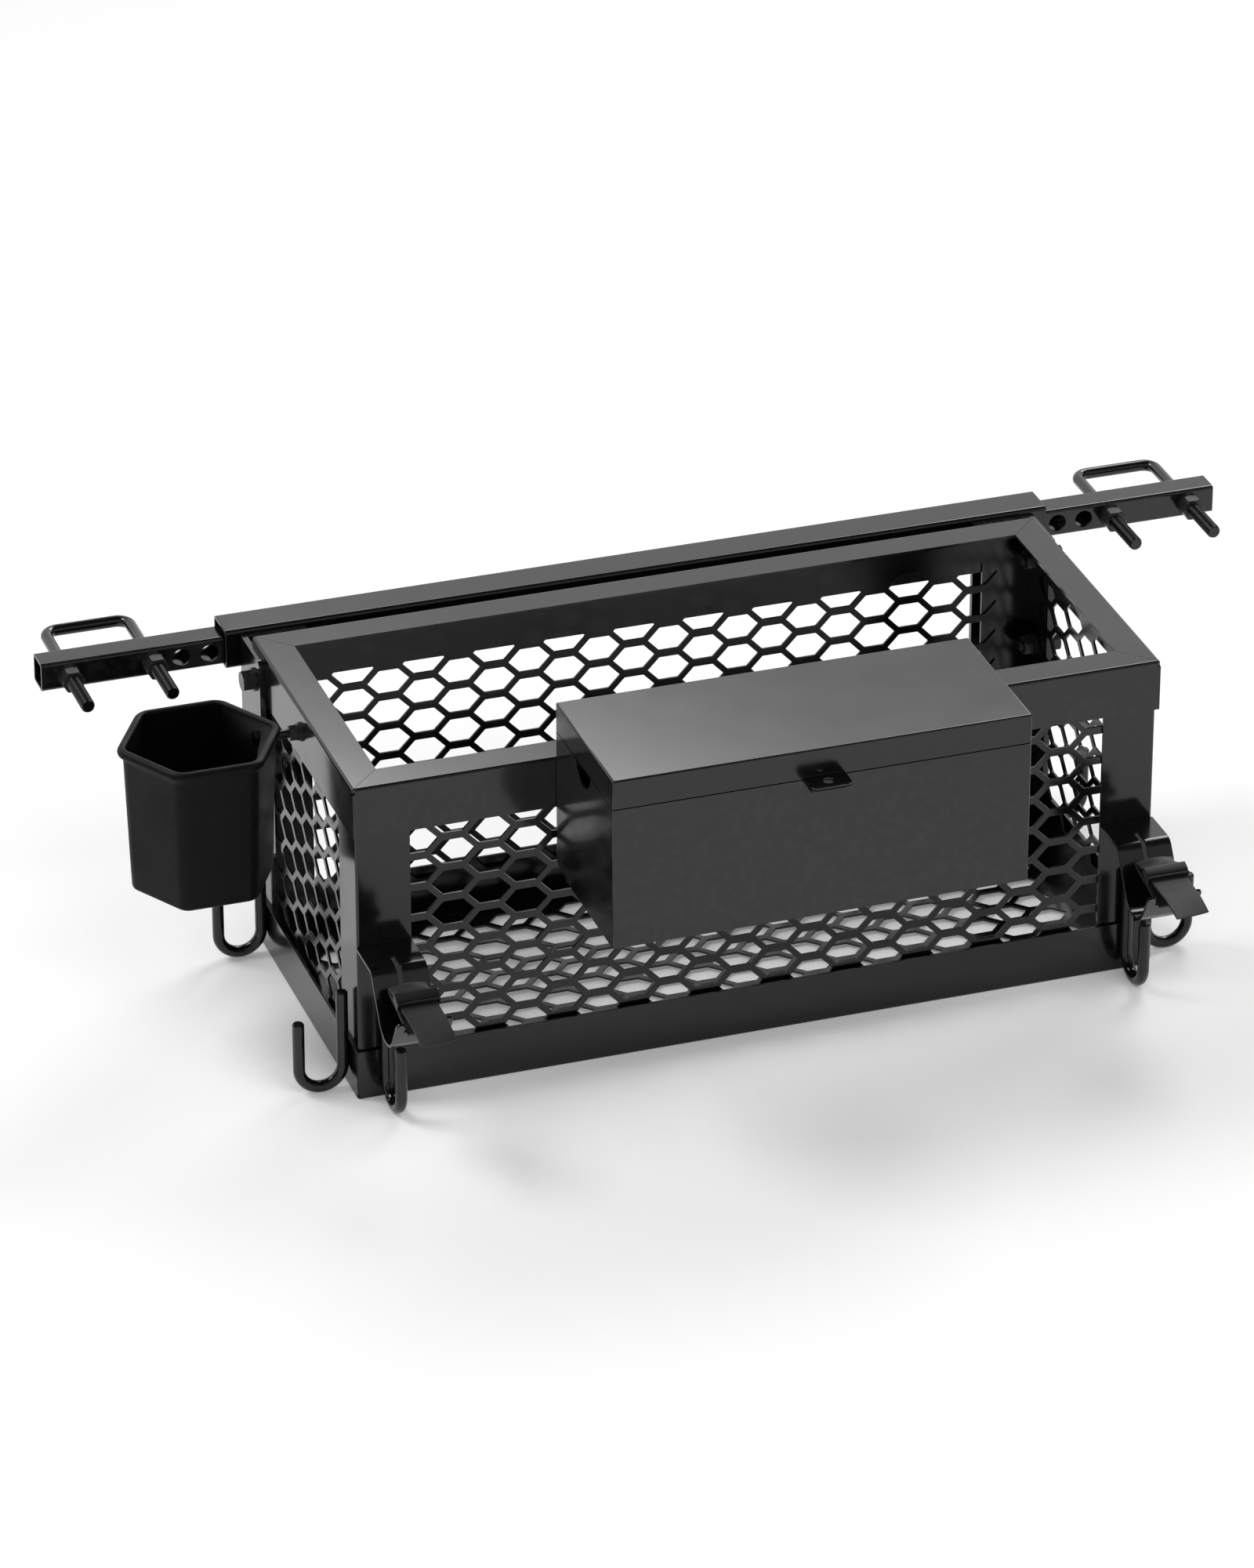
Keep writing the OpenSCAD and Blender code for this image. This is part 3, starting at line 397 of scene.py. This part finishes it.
# How far sharp edges are rounded, in millimetres, by how a node's name starts; the rest stay as they come
EDGES = {
    "bottom_rail": 0.35,
    "post_front": 0.35,
    "mesh": 0.25,
    "crossbar": 0.4,
    "cradle": 0.25,
    "toolbox_lid": 0.3,
}


def roll_edges(piece, width):
    """Joins the imported corners, then rounds what is sharp."""
    weld = piece.modifiers.new("weld", "WELD")
    weld.merge_threshold = 0.00001
    bevel = piece.modifiers.new("bevel", "BEVEL")
    bevel.width = width / 1000
    bevel.segments = 2
    bevel.limit_method = "ANGLE"
    bevel.angle_limit = math.radians(38)
    bevel.use_clamp_overlap = False
    piece.modifiers.new("normals", "WEIGHTED_NORMAL")


for name, piece in nodes.items():
    piece.data.materials.clear()
    piece.data.materials.append(MATERIALS[SLOTS[name]])
    for kind, width in EDGES.items():
        if name.startswith(kind):
            roll_edges(piece, width)


# ---------- mesh building ----------

def new_piece(name, verts, faces, slot, body):
    """A new piece that rides on a body, from points in millimetres: smooth apart from its end caps."""
    mesh = bpy.data.meshes.new(name)
    mesh.from_pydata([Vector(v) / 1000 for v in verts], [], faces)
    mesh.materials.append(MATERIALS[slot])
    shape = bmesh.new()
    shape.from_mesh(mesh)
    bmesh.ops.recalc_face_normals(shape, faces=shape.faces)
    shape.to_mesh(mesh)
    shape.free()
    for polygon in mesh.polygons:
        polygon.use_smooth = len(polygon.vertices) == 4
    piece = bpy.data.objects.new(name, mesh)
    scene.collection.objects.link(piece)
    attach(piece, body)
    return piece


def loft(rings):
    """Quads between rings of equal length, with a flat cap at each end."""
    count = len(rings[0])
    verts = [point for ring in rings for point in ring]
    faces = [tuple(reversed(range(count)))]
    for r in range(len(rings) - 1):
        for i in range(count):
            j = (i + 1) % count
            faces.append((r * count + i, r * count + j, (r + 1) * count + j, (r + 1) * count + i))
    faces.append(tuple(range((len(rings) - 1) * count, len(rings) * count)))
    return verts, faces


def box_mm(name):
    low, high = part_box(name)
    return Vector(low) * 1000, Vector(high) * 1000


# ---------- clamp bolts: rolled threads on both legs ----------

THREAD_PITCH = 1.588
THREAD_DEPTH = 0.6
THREAD_STEP = THREAD_PITCH / 8
THREAD_RUN_OUT = 3
THREAD_TIP_DROP = 0.9
ROD_R = 4.0
BEND_R = 9.0
BEND_STEPS = 12
SEGMENTS = 32


def thread_radius(radius, along, turn):
    """The radius of a rolled thread at a distance along the rod and a turn round it (0 to 1)."""
    phase = (along / THREAD_PITCH - turn) % 1
    crest = min(1, max(0, (abs(2 * phase - 1) - 0.12) / 0.7))
    return radius - THREAD_DEPTH * (1 - crest)


def clamp_bolt(side):
    """One rod swept from tip to tip, drawn about its own middle and then moved to its place."""
    low, high = box_mm(f"ubolt_{side}")
    thread_r = (high.z - low.z) / 2
    centre_x, centre_z = (low.x + high.x) / 2, (low.z + high.z) / 2
    leg = (high.x - low.x) / 2 - thread_r
    tip, bar = low.y, high.y - ROD_R
    thread_end = box_mm(f"arm_{side}")[1].y
    stations = []
    leg_length = thread_end - tip
    steps = round(leg_length / THREAD_STEP)
    for i in range(steps + 1):
        along = i * leg_length / steps
        stations.append((Vector((-leg, tip + along, 0)), Vector((0, 1, 0)), along))
    corner = bar - BEND_R
    for i in range(BEND_STEPS + 1):
        a = math.radians(90) * i / BEND_STEPS
        point = Vector((-leg + BEND_R * (1 - math.cos(a)), corner + BEND_R * math.sin(a), 0))
        stations.append((point, Vector((math.sin(a), math.cos(a), 0)), None))
    mirrored = []
    for point, tangent, along in reversed(stations):
        mirrored.append((Vector((-point.x, point.y, 0)), Vector((tangent.x, -tangent.y, 0)), along))
    rings = []
    for point, tangent, along in stations + mirrored:
        across = Vector((tangent.y, -tangent.x, 0))
        ring = []
        for k in range(SEGMENTS):
            turn = k / SEGMENTS
            a = 2 * math.pi * turn
            if along is None:
                radius = ROD_R
            else:
                chamfer = thread_r - THREAD_TIP_DROP + min(THREAD_TIP_DROP, along * 0.7)
                radius = min(chamfer, thread_radius(thread_r, along, turn))
                run_out = min(1, max(0, (leg_length - along) / THREAD_RUN_OUT))
                radius = ROD_R + (radius - ROD_R) * run_out
            offset = across * (radius * math.cos(a)) + Vector((0, 0, radius * math.sin(a)))
            ring.append(point + offset + Vector((centre_x, 0, centre_z)))
        rings.append(ring)
    piece = new_piece(f"clamp_bolt_{side}", *loft(rings), SLOTS[f"ubolt_{side}"], f"{side}_ubolt")
    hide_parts(f"ubolt_{side}")


for side in ("left", "right"):
    clamp_bolt(side)


# ---------- straps: woven webbing on a folded route ----------

# Distance in front of the basket (negative) and height, in millimetres
STRAP_ROUTE = [
    (-88.5, 96.9), (-84, 97.3), (-76, 98.9), (-65, 101.4), (-55, 103.2), (-49, 104.6), (-46.2, 106.9),
    (-47.6, 109.8), (-51.5, 111.6), (-56, 112.6), (-60.5, 112.7), (-64.5, 111.9),
    (-68.6, 110.3), (-74, 108.2), (-79.5, 107.6), (-87, 107.4), (-98, 106.6), (-107, 105), (-115.3, 102.8),
]
STRAP_T = 1.15
YARN = 1.39
PICK = 1.6
ROW = 0.4
COLUMNS_PER_YARN = 4
WEAVE = 0.1
# The tail's curl grows over its last stretch
TAIL = 45
# The crown across the strap at the top of its loop: its middle, its reach and the height it starts above
CREST_Y = -54.5
CREST_REACH = 6
CREST_ABOVE = 108


def even_route(points, spacing):
    """A Catmull-Rom curve through the points, resampled at even steps: (point, tangent, distance)."""
    dense = []
    for i in range(len(points) - 1):
        p0, p1 = Vector(points[max(i - 1, 0)]), Vector(points[i])
        p2, p3 = Vector(points[i + 1]), Vector(points[min(i + 2, len(points) - 1)])
        for k in range(24):
            t = k / 24
            dense.append(0.5 * (2 * p1 + (p2 - p0) * t + (2 * p0 - 5 * p1 + 4 * p2 - p3) * t ** 2
                                + (3 * p1 - p0 - 3 * p2 + p3) * t ** 3))
    dense.append(Vector(points[-1]))
    lengths = [0.0]
    for a, b in zip(dense, dense[1:]):
        lengths.append(lengths[-1] + (b - a).length)
    count = round(lengths[-1] / spacing)
    result, i = [], 0
    for k in range(count + 1):
        distance = lengths[-1] * k / count
        while i < len(dense) - 2 and lengths[i + 1] < distance:
            i += 1
        part = (distance - lengths[i]) / (lengths[i + 1] - lengths[i])
        result.append([dense[i].lerp(dense[i + 1], part), None, distance])
    for k, entry in enumerate(result):
        before, after = result[max(k - 2, 0)][0], result[min(k + 2, count)][0]
        entry[1] = (after - before).normalized()
    return result


def strap(side, skew, curl):
    """A strap with every yarn and pick in its mesh. skew and curl: how much further and higher the tail's
    left corner reaches, in millimetres."""
    low, high = box_mm(f"strap_{side}")
    centre_x, width = (low.x + high.x) / 2, high.x - low.x
    front = box_mm("bottom_rail_front")[0].y
    yarns = round(width / YARN)
    columns = yarns * COLUMNS_PER_YARN
    rows = even_route(STRAP_ROUTE, ROW)
    total = rows[-1][2]
    rings = []
    for point, tangent, distance in rows:
        normal = Vector((tangent.y, -tangent.x))
        tail = max(0, (distance - (total - TAIL)) / TAIL) ** 2
        crest = math.exp(-((point.x - CREST_Y) / CREST_REACH) ** 2) if point.y > CREST_ABOVE else 0
        top, bottom = [], []
        for c in range(columns + 1):
            u = 2 * c / columns - 1
            yarn_at = c / COLUMNS_PER_YARN
            bead = abs(math.sin(math.pi * yarn_at))
            shift = 0.5 * (int(yarn_at) % 2)
            pick_top = math.cos(2 * math.pi * (distance / PICK + shift))
            weave = WEAVE * bead ** 0.6
            edge = math.sqrt(max(0, 1 - max(0, (abs(u) - 0.94) / 0.06) ** 2))
            half = (STRAP_T / 2) * (0.35 + 0.65 * edge)
            bow = crest * (1.0 - 4.6 * u * u) - 0.5 * tail * (1 - u * u)
            along = -skew * tail * u / 2
            lift = -curl * tail * u / 2
            base = point + tangent * along + Vector((0, lift)) + normal * bow
            upper = base + normal * (half + weave * (0.62 + 0.38 * pick_top) * edge)
            lower = base - normal * (half + weave * (0.62 - 0.38 * pick_top) * edge)
            x = centre_x + u * width / 2
            top.append((x, front + upper.x, upper.y))
            bottom.append((x, front + lower.x, lower.y))
        rings.append(top + bottom[::-1])
    piece = new_piece(f"webbing_{side}", *loft(rings), "webbing", "carrier")
    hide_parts(f"strap_{side}")


strap("left", 4.0, 1.6)
strap("right", 5.3, 3.0)


# ---------- strap buckles: a moulded sleeve with a rolled thumb lip ----------

BUCKLE_TILT = math.radians(24)
BUCKLE_SLOT = 3.8
BUCKLE_WALL = 1.3
BUCKLE_LIP = 1.15


def arc(centre, radius, start, end, steps):
    """Points on a circle, between two angles in degrees."""
    turns = [math.radians(start + (end - start) * i / steps) for i in range(steps + 1)]
    return [(centre[0] + radius * math.cos(a), centre[1] + radius * math.sin(a)) for a in turns]


def prism(name, outline, x0, x1):
    """A solid drawn across X from an outline of (along, up) points."""
    rings = [[(x, a, b) for a, b in outline] for x in (x0, x1)]
    verts, faces = loft(rings)
    mesh = bpy.data.meshes.new(name)
    mesh.from_pydata(verts, [], faces)
    shape = bmesh.new()
    shape.from_mesh(mesh)
    bmesh.ops.recalc_face_normals(shape, faces=shape.faces)
    shape.to_mesh(mesh)
    shape.free()
    solid = bpy.data.objects.new(name, mesh)
    scene.collection.objects.link(solid)
    return solid


def cut(solid, tool):
    """The solid's mesh with the tool taken out of it; both objects are removed."""
    knife = solid.modifiers.new("cut", "BOOLEAN")
    knife.object = tool
    knife.operation = "DIFFERENCE"
    knife.solver = "EXACT"
    bpy.context.view_layer.update()
    depsgraph = bpy.context.evaluated_depsgraph_get()
    mesh = bpy.data.meshes.new_from_object(solid.evaluated_get(depsgraph))
    for piece in (solid, tool):
        bpy.data.objects.remove(piece)
    return mesh


def buckle(side):
    """A moulded sleeve with a slot right through it for the strap."""
    low, high = box_mm(f"strap_buckle_{side}")
    centre = (low + high) / 2
    half_w = (high.x - low.x) / 2
    half_h = BUCKLE_SLOT / 2 + BUCKLE_WALL
    reach = ((high.y - low.y) / 2 - half_h * math.sin(BUCKLE_TILT)) / math.cos(BUCKLE_TILT)
    lip = BUCKLE_LIP
    outline = arc((-reach + lip, lip - half_h), lip, -150, -90, 4)
    outline += [(reach - lip, -half_h)] + arc((reach - lip, lip - half_h), lip, -70, 20, 5)
    outline += arc((reach - 1.6, half_h - 0.9), 0.9, 0, 150, 7)
    outline += arc((reach - 3.6, half_h - 0.5), 0.5, -60, 90, 4)
    outline += [(0.5, half_h + 0.12), (-1.5, half_h + 0.1), (lip - reach, half_h - 0.15)]
    outline += arc((lip - reach, half_h - 0.15 - lip), lip, 110, 190, 5)
    # +along is the strap's lower end, which is towards -Y
    flipped = [(-a, b) for a, b in outline]
    solid = prism("buckle_solid", flipped, -half_w, half_w)
    slot_w = half_w - BUCKLE_WALL + 0.2
    half_slot = BUCKLE_SLOT / 2
    past = 2 * reach
    slot_outline = [(-past, -half_slot), (past, -half_slot), (past, half_slot), (-past, half_slot)]
    mesh = cut(solid, prism("buckle_slot", slot_outline, -slot_w, slot_w))
    place = Matrix.Translation(centre) @ Matrix.Rotation(BUCKLE_TILT, 4, "X")
    mesh.transform(Matrix.Scale(0.001, 4) @ place)
    mesh.materials.clear()
    mesh.materials.append(MATERIALS["buckle_plastic"])
    for polygon in mesh.polygons:
        polygon.use_smooth = True
    piece = bpy.data.objects.new(f"buckle_{side}", mesh)
    scene.collection.objects.link(piece)
    bevel = piece.modifiers.new("bevel", "BEVEL")
    bevel.width = 0.0003
    bevel.segments = 3
    bevel.limit_method = "ANGLE"
    bevel.angle_limit = math.radians(50)
    piece.modifiers.new("normals", "WEIGHTED_NORMAL")
    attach(piece, "carrier")
    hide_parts(f"strap_buckle_{side}")


for side in ("left", "right"):
    buckle(side)


# ---------- cup: a moulded hexagonal beaker with a rolled lip ----------

CUP_CORNER = 10.0
CUP_BASE_R = 48.0
CUP_TOP_R = 51.4
CUP_BEAD = 3.3
CUP_WALL = 2.2
CUP_PAD = 7.0
CUP_FOOT = 3.0
CUP_LIP_INSIDE = 1.9
CUP_FLOOR_R = 4


def hexagon(radius, corner, z, flat_x=None):
    """A level ring round a hexagon with a corner on +X, rounded; flat_x cuts that corner off square."""
    ring = []
    for k in range(6):
        turn = 60 * k
        a = math.radians(turn)
        centre = ((radius - corner) * math.cos(a), (radius - corner) * math.sin(a))
        ring += arc(centre, corner, turn - 30, turn + 30, 9)
    return [(x if flat_x is None else min(x, flat_x), y, z) for x, y in ring]


def cup():
    """One loft up the outside, over the bead and down the inside, where a pad backs the bolt's head."""
    low, high = box_mm("cup")
    height = high.z - low.z
    lip_r = (high.x - low.x) / 2

    def body_r(z):
        return CUP_BASE_R + (CUP_TOP_R - CUP_BASE_R) * z / height

    # Each station is a centre-to-corner radius and a height
    outside = [(body_r(0) - CUP_FOOT + x, z) for x, z in arc((0, CUP_FOOT), CUP_FOOT, -90, 0, 6)]
    outside += [(body_r(z), z) for z in (20, 40, 60, 80, height - 3 * CUP_BEAD)]
    bead = (lip_r - CUP_BEAD, height - CUP_BEAD)
    outside.append((body_r(height) + 0.15, bead[1] - CUP_BEAD * 1.25))
    outside.append((body_r(height) + 0.8, bead[1] - CUP_BEAD))
    outside += arc(bead, CUP_BEAD, -55, 90, 14)
    inner_r = body_r(height) - CUP_WALL
    inside = arc((inner_r + CUP_LIP_INSIDE, height - CUP_LIP_INSIDE), CUP_LIP_INSIDE, 95, 180, 7)
    inside += [(body_r(z) - CUP_WALL, z) for z in (height - 3.5, 80, 60, 40, 20, CUP_WALL + CUP_FLOOR_R)]
    floor_r = body_r(0) - CUP_WALL - CUP_FLOOR_R
    inside += [(floor_r + x, CUP_WALL + z) for x, z in arc((0, CUP_FLOOR_R), CUP_FLOOR_R, 0, -90, 6)]
    rings = [hexagon(r, CUP_CORNER + r - body_r(z), z) for r, z in outside]
    pad_x = CUP_BASE_R - CUP_PAD
    pad_top = height - 3
    for r, z in inside:
        rings.append(hexagon(r, CUP_CORNER + r - body_r(z), z, pad_x if z < pad_top else None))
    centre = ((low.x + high.x) / 2, (low.y + high.y) / 2, low.z)
    placed = [[(x + centre[0], y + centre[1], z + centre[2]) for x, y, z in ring] for ring in rings]
    piece = new_piece("cup_moulded", *loft(placed), "cup_plastic", "carrier")
    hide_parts("cup")


cup()
